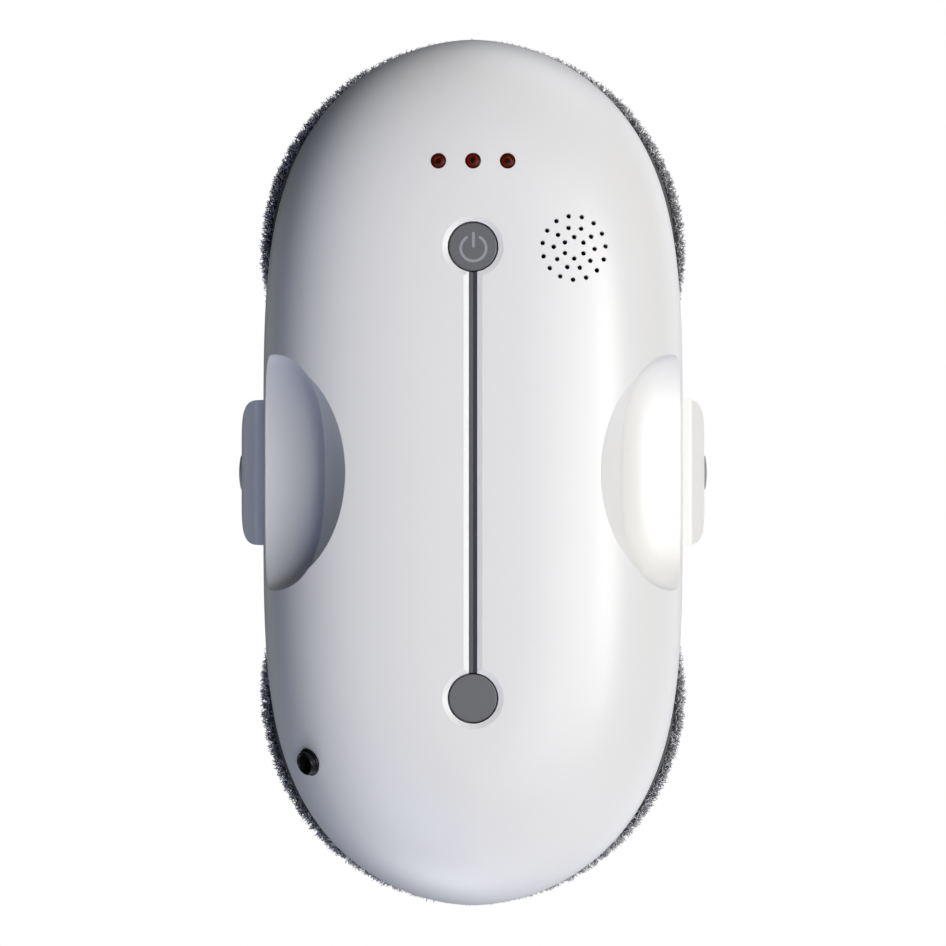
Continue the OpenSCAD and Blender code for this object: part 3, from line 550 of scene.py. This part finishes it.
def dress(ob, material, body, *stands_for):
    ob.data.materials.clear()
    ob.data.materials.append(MAT[material])
    ob.data.polygons.foreach_set("material_index", np.zeros(len(ob.data.polygons), np.int32))
    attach(ob, body)
    if stands_for:
        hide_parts(*stands_for)
    return ob


# ------------------------------------------------------------------ housing
def recessed(ob, grow):
    for side in (1, -1):
        boolean(ob, bowl("bowl", grow, side))
        boolean(ob, ball("ball", grow, side))
    return ob


def make_housing():
    shell = recessed(oval("housing_shell", SA, SB, TOP, RIM, "outer"), 0)
    core = recessed(oval("core", SA - WALL, SB - WALL, TOP - WALL, RIM - 1, "inner"), WALL)
    boolean(shell, core)
    # posts, button guides and the rib under the strip, trimmed to the middle of the wall
    def trimmed(parts):
        inner = recessed(oval("mid", SA - WALL / 2, SB - WALL / 2, TOP - WALL / 2, RIM, "mid", n=60, step=4.0), WALL / 2)
        return boolean(joined("bosses", parts), inner, "INTERSECT")
    posts = [cone("post", 3.4, 3.4, 27, 77, 32, matrix=Matrix.Translation((x, y, 0))) for x, y in SCREW_SPOTS]
    posts += [cone("post", 2.2, 2.2, 84.2, 98.2, 24, matrix=Matrix.Translation((q * 9.5, s * BUTTON_Y + s * q * 9.5, 0))) for s in (-1, 1) for q in (-1, 1)]
    posts += [cone("post", 2.4, 2.4, 89.4, 98.4, 24, matrix=Matrix.Translation((q * 15.5, 99, 0))) for q in (-1, 1)]
    posts += [cone("post", 7.2, 7.2, -6, 2, 48, matrix=AT_INLET)]
    boolean(shell, trimmed(posts), "UNION")
    guides = [cone("guide", 10, 10, 90, 99, 64, matrix=Matrix.Translation((0, s * BUTTON_Y, 0))) for s in (-1, 1)]
    boolean(shell, trimmed(guides), "UNION")
    boolean(shell, trimmed([box_mesh("rib", (-3.4, -60, 92.6), (3.4, 60, 98.6))]), "UNION")
    # openings
    boolean(shell, joined("pilots", [cone("pilot", 1.3, 1.3, 26, 38, 24, matrix=Matrix.Translation((x, y, 0))) for x, y in SCREW_SPOTS]))
    boolean(shell, joined("seats", [cone("seat", 7.6, 7.6, 89, 101, 128, matrix=Matrix.Translation((0, s * BUTTON_Y, 0))) for s in (-1, 1)]))
    boolean(shell, box_mesh("slot", (-1.25, -60.5, 94.4), (1.25, 60.5, 100.4)))
    vee = [(-1.25, TOP - 0.38), (1.25, TOP - 0.38), (3.95, TOP + 0.24), (-3.95, TOP + 0.24)]
    v = [(x, y, z) for y in (-60.5, 60.5) for x, z in vee]
    boolean(shell, outward(build("vee", v, rings_to_faces(2, 4), "vee")))
    boolean(shell, joined("cones", [cone("cone", 7.6, 10.3, TOP - 0.4, TOP + 0.24, 128, "ramp", Matrix.Translation((0, s * BUTTON_Y, 0))) for s in (-1, 1)]))
    holes = [cone("lamp", LAMP_R + 0.08, LAMP_R + 0.08, -6, 6, 48, matrix=at_lamp(i)) for i in (-1, 0, 1)]
    for count, r, lag in ((15, 9.6, -10), (10, 6.2, -16), (6, 3.24, 0)):
        for k in range(count):
            a = math.radians(90 - lag - k * 360 / count)
            holes.append(cone("hole", 0.7, 0.7, 80, 100, 24, matrix=Matrix.Translation((SPEAKER[0] + r * math.cos(a), SPEAKER[1] + r * math.sin(a), 0))))
    holes.append(cone("inlet", 3.7, 3.7, -12, 6, 64, matrix=AT_INLET))
    for s in (-1, 1):
        holes.append(cone("stem", 3, 3, 0, 14, 32, matrix=Matrix.Translation((s * 60, 0, PLUNGER_Z)) @ turn_y(s * 90)))
        for q in (-1, 1):
            holes.append(cone("screw", 1.5, 1.5, 0, 14, 24, matrix=Matrix.Translation((s * 60, q * LUG_SCREW_Y, 33)) @ turn_y(s * 90)))
    boolean(shell, joined("holes", holes))
    finish_normals(shell)
    return to_metres(shell)


housing = dress(make_housing(), "white_gloss", "housing", "top_shell")


# ------------------------------------------------------------------ side lugs
def lug_outline(n=96):
    """Plan of the right lug: half of a rounded rectangle, even steps along its length."""
    fine = np.radians(np.linspace(-90, 90, 4001))
    fx, fy = 66 + (LUG_X - 66) * spow(np.cos(fine), 2 / 5), 23.6 * spow(np.sin(fine), 2 / 5)
    run = np.concatenate([[0], np.cumsum(np.hypot(np.diff(fx), np.diff(fy)))])
    t = np.interp(np.linspace(0, run[-1], n), run, fine)
    return [(66 + (LUG_X - 66) * float(spow(math.cos(a), 2 / 5)), 23.6 * float(spow(math.sin(a), 2 / 5))) for a in t]


def lug_section():
    arc = lambda cx, cz, r, a0, a1, n: [(cx + r * math.cos(math.radians(a)), cz + r * math.sin(math.radians(a))) for a in np.linspace(a0, a1, n)]
    return ([(60, 22.6)] + arc(LUG_X - 1.2, 23.8, 1.2, -90, 0, 13) + arc(LUG_X - 5, 35.2, 5, 0, 45, 16)
            + arc(70.1, 40.1, 2, 45, 90, 16) + [(60, 42.4)])


def make_lug(name, side):
    plan = [(60, -23.6)] + lug_outline() + [(60, 23.6)]
    ob = prism(name, plan, 22.6, 42.6, "plan")
    sec = lug_section()
    v = [(x, y, z) for y in (-30, 30) for x, z in sec]
    boolean(ob, outward(build("section", v, rings_to_faces(2, len(sec)), "section")), "INTERSECT")
    boolean(ob, oval("body", SA, SB, TOP, RIM - 0.5, "outer"))
    boolean(ob, cone("well", 5.75, 5.75, 0, 12, 96, "round", Matrix.Translation((70.3, 0, PLUNGER_Z)) @ turn_y(90)))
    boolean(ob, cone("stem", 2.45, 2.45, 0, 14, 48, "round", Matrix.Translation((60, 0, PLUNGER_Z)) @ turn_y(90)))
    if side < 0:
        ob.data.transform(Matrix.Scale(-1, 4, (1, 0, 0)))
        ob.data.flip_normals()
    finish_normals(ob, 30.0)
    return to_metres(ob)


for name, side in (("left_lug", -1), ("right_lug", 1)):
    dress(make_lug(name + "_cover", side), "white_gloss", "housing", name)


# ------------------------------------------------------------------ status lamps
def smooth(lo, hi, v):
    t = np.clip((v - lo) / (hi - lo), 0, 1)
    return t * t * (3 - 2 * t)


def make_lamps():
    """Three tinted lenses with a stem and a foot; the die, a painted shade round the lens's edge and on one side, and
    a painted amber highlight are values on the lens face.
    """
    n, verts, faces, die_and_shade, painted_glint = 72, [], [], [], []
    face_r = np.linspace(LAMP_R, 0.03, 40)
    prof = [(3.0, -6.6), (3.0, -4.2), (LAMP_R, -4.2), (LAMP_R, -0.26)]
    prof += [(r * 0.998, -5.1 + math.sqrt(5.4 ** 2 - r * r) - 0.02 - 0.05 * math.exp(-(r / 0.8) ** 4)) for r in face_r]
    t = np.arange(n) * 2 * math.pi / n
    for i in (-1, 0, 1):
        pts = np.array([(r * math.cos(a), r * math.sin(a), z, 1.0) for r, z in prof for a in t])
        pts = (np.array(at_lamp(i)) @ pts.T).T[:, :3]
        dx, dy = (pts[:, 0] - i * LAMP_PITCH) * 3.336, (pts[:, 1] - LAMP_Y) * 3.336
        r, a = np.hypot(dx, dy), np.degrees(np.arctan2(dy, dx))
        # painted shade: the lens darkens towards its edge, where the hole's gap lies in shadow
        rim = smooth(5.2, 7.1, r)
        if i == 0:
            core = 1 - smooth(0.72, 1.22, np.hypot(dx / np.where(dy > 1, 2.6 - 0.18 * (dy - 1), 2.75), (dy - 0.6) / 3.6))
            ring = painted_gleam = np.zeros(len(r))
        else:
            mid = 90 - i * 38
            near = np.abs((a - mid + 180) % 360 - 180)
            core = 1 - smooth(2.6, 3.6, np.hypot(dx, dy + 0.3))
            # painted shade: a crescent on one side of each outer lens is darkened
            ring = smooth(3.6, 4.5, r) * (1 - smooth(5.0, 6.2, r)) * (1 - smooth(70, 115, near)) * 0.78
            # painted highlight: an amber crescent glint on the same side
            painted_gleam = smooth(2.7, 3.3, r) * (1 - smooth(3.7, 4.4, r)) * (1 - smooth(30, 78, near)) * 0.85
        base = len(verts)
        verts += pts.tolist()
        faces += [tuple(base + k for k in f) for f in rings_to_faces(len(prof), n)]
        die_and_shade += np.clip(np.maximum.reduce([rim * 0.93, core, ring]), 0, 1).tolist()
        painted_glint += painted_gleam.tolist()
    ob = outward(build("status_lamp_lenses", verts, faces, "round"))
    for label, values in (("die_and_shade", die_and_shade), ("painted_glint", painted_glint)):
        ob.data.attributes.new(label, "FLOAT", "POINT").data.foreach_set("value", np.array(values, np.float32))
    finish_normals(ob, 30.0)
    return to_metres(ob)


dress(make_lamps(), "lamp_red", "housing", "status_lamps")


# ------------------------------------------------------------------ microfibre pads
def pad_profile():
    """Closed section of the pad's backing, a little inside the pile's tips: (radius, height)."""
    r0, r1 = CHAMBER_R + 0.8, PAD_R - 2.0
    arc = [(r1 - 4.2 + 4.2 * math.cos(math.radians(a)), 4.9 + 4.2 * math.sin(math.radians(a))) for a in range(-90, 91, 15)]
    return [(r0, 1.9), (r0 + 1.2, 0.7)] + [(x, 0.7) for x in np.linspace(r0 + 4, r1 - 6, 6)] + arc + [(x, 9.6 if x < 66 else 9.1) for x in np.linspace(r1 - 6, r0 + 1, 6)] + [(r0, 9.0)]


def make_pile(name, centre_y, seed, count):
    """Backing ring and thousands of fine curly tufts, each a closed spike with three bends."""
    rng = np.random.default_rng(seed)
    prof = np.array(pad_profile())
    n = 180
    t = np.arange(n) * 2 * math.pi / n
    m = len(prof)
    wob = rng.normal(0, 0.12, (m, n))
    v = np.zeros((m, n, 3))
    v[:, :, 0] = (prof[:, 0][:, None] + wob) * np.cos(t)
    v[:, :, 1] = (prof[:, 0][:, None] + wob) * np.sin(t)
    v[:, :, 2] = np.clip(prof[:, 1][:, None] + wob * 0.6, 0.45, 10.0)
    base_v = v.reshape(-1, 3)
    base_f = rings_to_faces(m, n, closed=True)
    # where tufts stand: along the section by weight, then round the ring
    closed = np.vstack([prof, prof[:1]])
    seg = np.diff(closed, axis=0)
    length = np.hypot(seg[:, 0], seg[:, 1])
    mid_r = (closed[:-1, 0] + closed[1:, 0]) / 2
    mid_z = (closed[:-1, 1] + closed[1:, 1]) / 2
    outer = mid_r > 63
    weight = length * mid_r * np.where(mid_r > 68.5, 7.0, np.where(outer, 2.2, 0.8))
    weight[(mid_z > 8.8) & (mid_r < 65)] = 0      # under the hook tape
    weight[mid_r < CHAMBER_R + 1.5] *= 0.8
    weight /= weight.sum()
    k = rng.choice(m, count, p=weight)
    f = rng.random(count)
    pr = closed[k] + seg[k] * f[:, None]
    nrm = np.stack([seg[k, 1], -seg[k, 0]], 1)
    nrm /= np.linalg.norm(nrm, axis=1, keepdims=True)
    a = rng.random(count) * 2 * math.pi
    er, et, ez = np.stack([np.cos(a), np.sin(a), 0 * a], 1), np.stack([-np.sin(a), np.cos(a), 0 * a], 1), np.tile([0, 0, 1.0], (count, 1))
    root = er * pr[:, :1] + ez * pr[:, 1:2]
    up = er * nrm[:, :1] + ez * nrm[:, 1:2]
    across = er * -nrm[:, 1:2] + ez * nrm[:, :1]
    lean = rng.normal(0, 0.48, (count, 1)) * et + rng.normal(0, 0.34, (count, 1)) * across
    d0 = up + lean
    d0 /= np.linalg.norm(d0, axis=1, keepdims=True)
    curl = rng.normal(0, 0.85, (count, 1)) * et + rng.normal(0, 0.5, (count, 1)) * across
    d1 = up * 0.85 + lean * 0.3 + curl
    d1 /= np.linalg.norm(d1, axis=1, keepdims=True)
    d2 = up * 0.35 + curl * 1.5 + rng.normal(0, 0.35, (count, 3))
    d2 /= np.linalg.norm(d2, axis=1, keepdims=True)
    size = rng.uniform(2.0, 3.7, (count, 1))
    width = rng.uniform(0.12, 0.21, (count, 1)) * np.where(pr[:, :1] > 68, 1.5, 1.0)
    p0 = root - up * 0.35
    p1 = root + d0 * size * 0.38
    p2 = p1 + d1 * size * 0.34
    p3 = p2 + d2 * size * 0.32
    pts = np.stack([p0, p1, p2, p3], 1)
    # a tuft that would reach past the pad's own limits is drawn in towards its root
    rad = np.linalg.norm(pts[:, :, :2], axis=2)
    home = np.linalg.norm(root[:, :2], axis=1)
    lim = 73.3 - 1.3 * rng.random(count) ** 1.5
    most = rad.max(1)
    pull = np.where(most > lim, np.clip((lim - home) / np.maximum(most - home, 1e-6), 0.15, 1.0), 1.0)
    want = np.where(rad > home[:, None], home[:, None] + (rad - home[:, None]) * pull[:, None], rad)
    pts[:, :, :2] *= (want / rad)[:, :, None]
    rad = np.linalg.norm(pts[:, :, :2], axis=2)
    pts[:, :, :2] /= np.maximum(rad / 73.3, 1.0)[:, :, None]
    low = np.minimum(rad / (CHAMBER_R - 1.6), 1.0)
    pts[:, :, :2] /= np.maximum(low, 0.5)[:, :, None]
    zmax = np.where(np.linalg.norm(pts[:, :, :2], axis=2) > 68.6, 11.2, 10.0)
    pts[:, :, 2] = np.clip(pts[:, :, 2], 0.06, zmax)
    side_a = np.cross(d0, et + 1e-3)
    side_a /= np.maximum(np.linalg.norm(side_a, axis=1, keepdims=True), 1e-9)
    side_b = np.cross(d0, side_a)
    ring = [side_a, -0.5 * side_a + 0.866 * side_b, -0.5 * side_a - 0.866 * side_b]
    tuft = np.zeros((count, 10, 3))
    for j, s in enumerate(ring):
        tuft[:, j] = pts[:, 0] + s * width * 0.8
        tuft[:, 3 + j] = pts[:, 1] + s * width * 0.65
        tuft[:, 6 + j] = pts[:, 2] + s * width * 0.6
    tuft[:, 9] = pts[:, 3]
    tuft[:, :, 2] = np.clip(tuft[:, :, 2], 0.03, 11.4)
    sides = [[a, b, b + 3, a, b + 3, a + 3] for a, b in ((0, 1), (1, 2), (2, 0), (3, 4), (4, 5), (5, 3))]
    idx = np.array([q[:3] for q in sides] + [q[3:] for q in sides] + [[6, 7, 9], [7, 8, 9], [8, 6, 9], [0, 2, 1]])
    tv = tuft.reshape(-1, 3)
    tf = (np.arange(count)[:, None, None] * 10 + idx[None]).reshape(-1, 3)
    tv[:, 1] += centre_y
    base_v[:, 1] += centre_y
    nb = len(base_v)
    me = bpy.data.meshes.new(name)
    all_v = np.concatenate([base_v, tv]) * 0.001
    base_f = np.array(base_f)
    me.vertices.add(len(all_v))
    me.vertices.foreach_set("co", all_v.ravel())
    loops = np.concatenate([base_f.ravel(), (tf + nb).ravel()])
    totals = np.concatenate([np.full(len(base_f), 4), np.full(len(tf), 3)])
    me.loops.add(len(loops))
    me.loops.foreach_set("vertex_index", loops)
    me.polygons.add(len(totals))
    me.polygons.foreach_set("loop_start", np.concatenate([[0], np.cumsum(totals)[:-1]]))
    me.polygons.foreach_set("loop_total", totals)
    me.update(calc_edges=True)
    me.validate()
    shade = np.concatenate([np.full(nb, 0.0), np.repeat(rng.random(count), 10)])
    # tip runs from 0 on the backing and at the roots to 1 at each point; the material paints shade by it
    tip = np.concatenate([np.zeros(nb), np.tile([0.0, 0, 0, 0.45, 0.45, 0.45, 0.8, 0.8, 0.8, 1.0], count)])
    for label, values in (("tuft", shade), ("tip", tip)):
        at = me.attributes.new(label, "FLOAT", "POINT")
        at.data.foreach_set("value", values.astype(np.float32))
    me.polygons.foreach_set("use_smooth", np.concatenate([np.ones(len(base_f), bool), np.zeros(len(tf), bool)]))
    ob = bpy.data.objects.new(name, me)
    scene.collection.objects.link(ob)
    return ob


TUFTS = 11700
for name, y, seed in (("upper", DISC_Y, 11), ("lower", -DISC_Y, 23)):
    pile = dress(make_pile(name + "_pad_pile", y, seed, TUFTS), "microfibre", name + "_disc", name + "_pad")

# ------------------------------------------------------------------ floor and light
# The floor is a plain white sheet seen from above; it neither shades the object nor lights it.
floor_mesh = bpy.data.meshes.new("floor")
floor_mesh.from_pydata([(-3, -3, -0.0002), (3, -3, -0.0002), (3, 3, -0.0002), (-3, 3, -0.0002)], [], [(0, 1, 2, 3)])
floor = bpy.data.objects.new("floor", floor_mesh)
scene.collection.objects.link(floor)
floor_nodes = Nodes("floor_white")
glow = floor_nodes.add("ShaderNodeEmission", {"Color": (1, 1, 1, 1), "Strength": 1.0})
clear = floor_nodes.add("ShaderNodeBsdfTransparent", {"Color": (1, 1, 1, 1)})
below = floor_nodes.add("ShaderNodeNewGeometry").outputs["Backfacing"]
sheet = floor_nodes.add("ShaderNodeMixShader", {0: below, 1: glow.outputs[0], 2: clear.outputs[0]})
floor_nodes.link(sheet.outputs[0], floor_nodes.tree.nodes["Material Output"].inputs["Surface"])
floor.data.materials.append(floor_nodes.mat)
floor.visible_diffuse = floor.visible_glossy = floor.visible_transmission = floor.visible_shadow = False

# Soft studio light as smooth round lobes on the sky: zenith angle, turn from +X, sharpness, colour
LOBES = [
    (39, 2, 50, (15.9, 15.4, 14.6)),
    (15, -6, 60, (9.8, 9.8, 9.3)),
    (94, -101, 15, (2.8, 2.87, 3.1)),
    (134, -31, 8, (1.23, 1.26, 1.38)),
    (106, 65, 12.5, (1.75, 1.83, 2.13)),
    (143, 29, 18, (1.04, 1.03, 1.07)),
    (146, 180, 25, (0.48, 0.50, 0.42)),
    (37, -122, 35, (1.15, 1.45, 2.9)),
]


def studio_world():
    world = bpy.data.worlds.new("studio")
    scene.world = world
    world.use_nodes = True
    nt = world.node_tree
    nt.nodes.clear()

    def add(kind, inputs=None, **props):
        n = nt.nodes.new(kind)
        for k, v in props.items():
            setattr(n, k, v)
        for k, v in (inputs or {}).items():
            if isinstance(v, bpy.types.NodeSocket):
                nt.links.new(v, n.inputs[k])
            else:
                n.inputs[k].default_value = v
        return n

    ray = add("ShaderNodeTexCoord").outputs["Generated"]
    total = None
    for zenith, turn, sharp, colour in LOBES:
        z, a = math.radians(zenith), math.radians(turn)
        axis = (math.sin(z) * math.cos(a), math.sin(z) * math.sin(a), math.cos(z))
        dot = add("ShaderNodeVectorMath", {0: ray, 1: axis}, operation="DOT_PRODUCT").outputs["Value"]
        power = add("ShaderNodeMath", {0: dot, 1: sharp, 2: -sharp}, operation="MULTIPLY_ADD").outputs[0]
        fall = add("ShaderNodeMath", {0: power}, operation="EXPONENT").outputs[0]
        tint = add("ShaderNodeVectorMath", {0: colour, "Scale": fall}, operation="SCALE").outputs[0]
        total = tint if total is None else add("ShaderNodeVectorMath", {0: total, 1: tint}, operation="ADD").outputs[0]
    light = add("ShaderNodeBackground", {"Color": total, "Strength": 1.0})
    plain = add("ShaderNodeBackground", {"Color": (1, 1, 1, 1), "Strength": 1.0})
    seen = add("ShaderNodeLightPath").outputs["Is Camera Ray"]
    both = add("ShaderNodeMixShader", {0: seen, 1: light.outputs[0], 2: plain.outputs[0]})
    out = add("ShaderNodeOutputWorld")
    nt.links.new(both.outputs[0], out.inputs["Surface"])


studio_world()

scene.view_settings.view_transform = "Standard"
